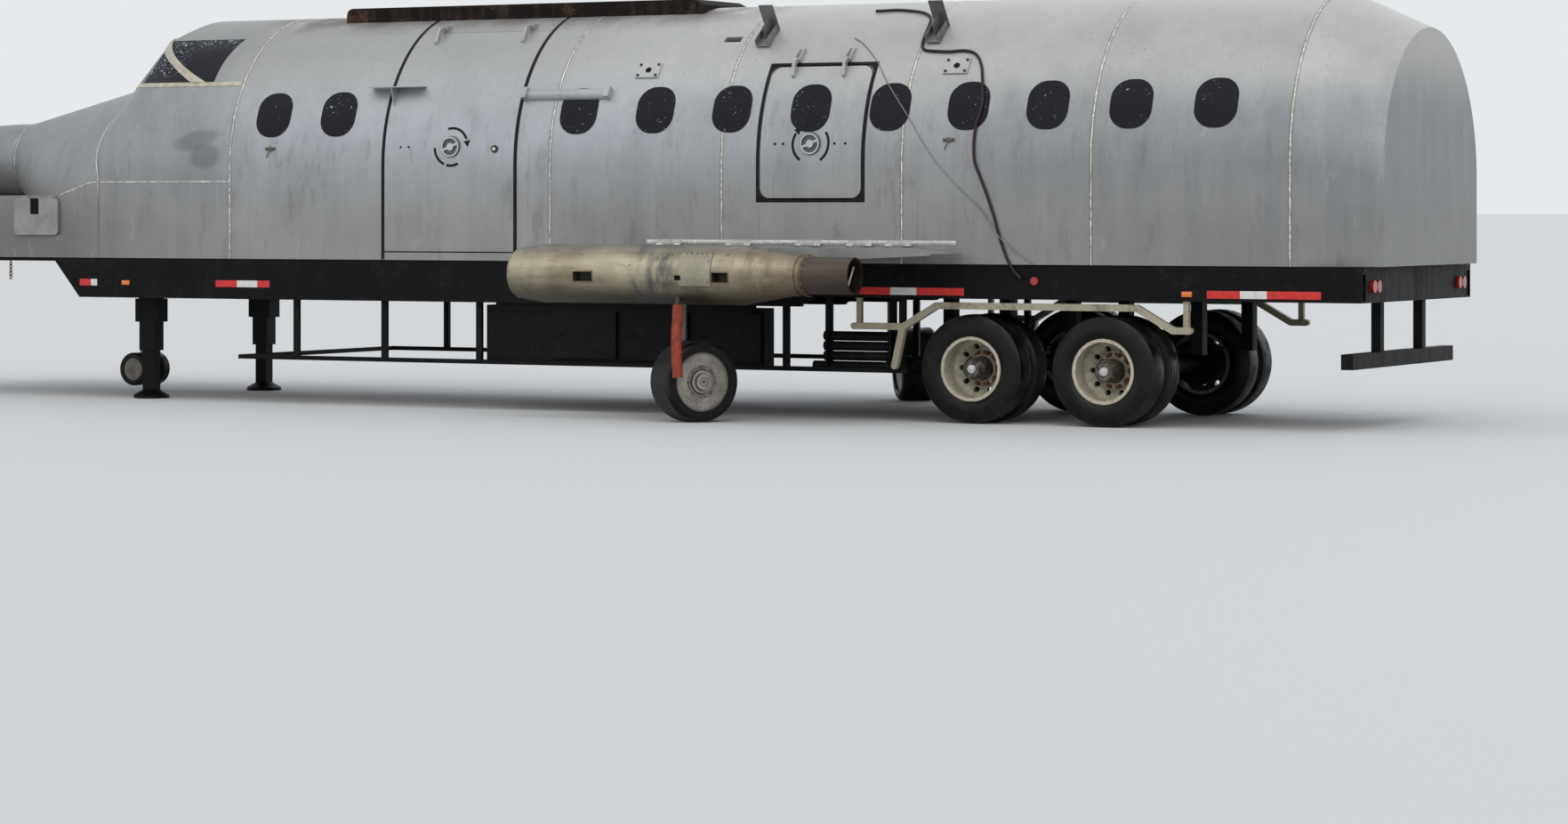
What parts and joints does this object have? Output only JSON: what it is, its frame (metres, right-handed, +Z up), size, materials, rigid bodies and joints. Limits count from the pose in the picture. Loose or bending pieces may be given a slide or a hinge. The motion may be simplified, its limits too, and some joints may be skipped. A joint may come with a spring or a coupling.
{
  "type": "mobile aircraft fire trainer",
  "caption": "Mock airliner fuselage on a drop-frame semi-trailer for fire training, with folding stub wings, nacelles, top-hinged doors and a roof fire pan.",
  "frame": {"origin": "on the ground under the middle of the object's length and width", "axes": "+X towards the rear of the trailer, +Y to starboard, +Z up"},
  "size_m": [14, 4.7048, 3.245],
  "materials": {
    "chassis_black": "semi-gloss, dusty",
    "skin_steel": "weathered bare and painted sheet steel",
    "burnt_steel": "burnt and scaled",
    "fender_tan": "dusty",
    "heat_steel": "heat tinted",
    "gear_steel": "matte grey",
    "rim_cream": "gloss, rust at the studs",
    "tyre": "worn tread",
    "lamp_red": "gloss",
    "cable_black": "scuffed",
    "wire_grey": "dull",
    "hose_red": "scorched"
  },
  "bodies": {
    "trailer": {"main_beams": "chassis_black", "crossmembers": "chassis_black", "side_rails": "chassis_black", "deck": "chassis_black", "coupler_plate": "chassis_black", "landing_legs": "chassis_black", "belly_frame": "chassis_black", "equipment_boxes": "chassis_black", "pipe_rack": "chassis_black", "suspension": "chassis_black", "axle_front": "chassis_black", "axle_rear": "chassis_black", "fenders": "fender_tan", "rear_bumper": "chassis_black", "lamps": "lamp_red", "nose_cone": "skin_steel", "nose_skirt": "skin_steel", "cockpit_shell": "skin_steel", "fore_shell": "skin_steel", "door_shell": "skin_steel", "middle_shell": "skin_steel", "exit_shell": "skin_steel", "aft_shells": "skin_steel", "tail_shell": "skin_steel", "roof_burner": "burnt_steel", "roof_fittings": "skin_steel", "hinge_brackets": "skin_steel", "wing_hinges": "skin_steel", "nose_gear_leg": "gear_steel", "roof_cable": "cable_black", "lanyard": "wire_grey"},
    "big_door": {"big_door": "skin_steel"},
    "exit_left": {"exit_left": "skin_steel"},
    "exit_right": {"exit_right": "skin_steel"},
    "battery_hatch": {"battery_hatch": "skin_steel"},
    "stub_wing_left": {"wing_left": "skin_steel", "nacelle_left": "heat_steel", "gear_leg_left": "chassis_black", "nacelle_hose": "hose_red"},
    "gear_wheel_left": {"gear_tyre_left": "tyre", "gear_disc_left": "gear_steel"},
    "stub_wing_right": {"wing_right": "skin_steel", "nacelle_right": "heat_steel", "gear_leg_right": "chassis_black"},
    "gear_wheel_right": {"gear_tyre_right": "tyre", "gear_disc_right": "gear_steel"},
    "nose_wheels": {"nose_gear_tyres": "tyre", "nose_gear_discs": "gear_steel"},
    "road_wheels_front_left": {"tyres_front_left": "tyre", "rims_front_left": "rim_cream"},
    "road_wheels_front_right": {"tyres_front_right": "tyre", "rims_front_right": "rim_cream"},
    "road_wheels_rear_left": {"tyres_rear_left": "tyre", "rims_rear_left": "rim_cream"},
    "road_wheels_rear_right": {"tyres_rear_right": "tyre", "rims_rear_right": "rim_cream"}
  },
  "joints": [
    {"name": "big_door_swing", "type": "hinge", "parent": "trailer", "child": "big_door", "pos_m": [-0.5915, -0.653, 3.046], "axis": [-1, 0, 0], "range_deg": [0, 80]},
    {"name": "exit_left_swing", "type": "hinge", "parent": "trailer", "child": "exit_left", "pos_m": [2.5975, -1.0123, 2.725], "axis": [-1, 0, 0], "range_deg": [0, 95]},
    {"name": "exit_right_swing", "type": "hinge", "parent": "trailer", "child": "exit_right", "pos_m": [2.5975, 1.0123, 2.725], "axis": [1, 0, 0], "range_deg": [0, 95]},
    {"name": "battery_hatch_swing", "type": "hinge", "parent": "trailer", "child": "battery_hatch", "pos_m": [-4.631, -1.2765, 1.688], "axis": [-1, 0, 0], "range_deg": [0, 100]},
    {"name": "stub_wing_left_fold", "type": "hinge", "parent": "trailer", "child": "stub_wing_left", "pos_m": [2.5, -1.289, 1.314], "axis": [-1, 0, 0], "range_deg": [0, 75]},
    {"name": "stub_wing_right_fold", "type": "hinge", "parent": "trailer", "child": "stub_wing_right", "pos_m": [2.5, 1.289, 1.314], "axis": [1, 0, 0], "range_deg": [0, 75]},
    {"name": "gear_wheel_left_roll", "type": "hinge", "parent": "stub_wing_left", "child": "gear_wheel_left", "pos_m": [1.978, -1.97, 0.302], "axis": [-0.8192, 0.5736, 0], "continuous": true},
    {"name": "gear_wheel_right_roll", "type": "hinge", "parent": "stub_wing_right", "child": "gear_wheel_right", "pos_m": [1.978, 1.97, 0.302], "axis": [0.8192, 0.5736, 0], "continuous": true},
    {"name": "nose_wheels_roll", "type": "hinge", "parent": "trailer", "child": "nose_wheels", "pos_m": [-4.43, 0, 0.205], "axis": [0, 1, 0], "continuous": true},
    {"name": "road_wheels_front_left_roll", "type": "hinge", "parent": "trailer", "child": "road_wheels_front_left", "pos_m": [3.9, -1, 0.405], "axis": [0, 1, 0], "continuous": true},
    {"name": "road_wheels_front_right_roll", "type": "hinge", "parent": "trailer", "child": "road_wheels_front_right", "pos_m": [3.9, 1, 0.405], "axis": [0, 1, 0], "continuous": true},
    {"name": "road_wheels_rear_left_roll", "type": "hinge", "parent": "trailer", "child": "road_wheels_rear_left", "pos_m": [4.945, -1, 0.405], "axis": [0, 1, 0], "continuous": true},
    {"name": "road_wheels_rear_right_roll", "type": "hinge", "parent": "trailer", "child": "road_wheels_rear_right", "pos_m": [4.945, 1, 0.405], "axis": [0, 1, 0], "continuous": true}
  ]
}
